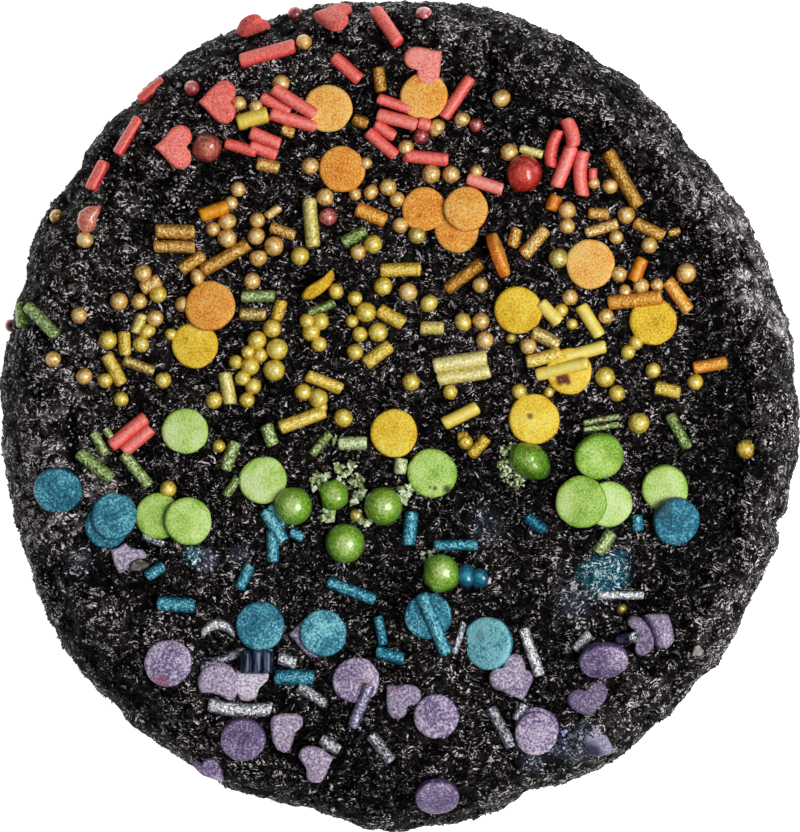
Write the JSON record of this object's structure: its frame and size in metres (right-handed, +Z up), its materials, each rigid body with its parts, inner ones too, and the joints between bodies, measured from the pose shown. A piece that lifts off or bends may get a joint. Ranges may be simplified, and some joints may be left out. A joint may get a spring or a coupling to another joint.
{
  "type": "rainbow cookie",
  "caption": "Thick round dark cocoa cookie with a flat base and a rolled lip, topped with sugar confetti, hearts, rods, pearls and beads in rainbow order.",
  "frame": {"origin": "middle of the flat base, under the centre of the cookie's bounding box", "axes": "+Z up, through the cookie's thickness; +Y towards the red end of the rainbow, -Y towards the purple end; +X to the right of the view from above"},
  "size_m": [0.0992, 0.1036, 0.0161],
  "materials": {
    "crust": "rough dark baked cocoa dough with sparkling grains"
  },
  "bodies": {
    "root": {"cookie": "crust"}
  },
  "joints": []
}
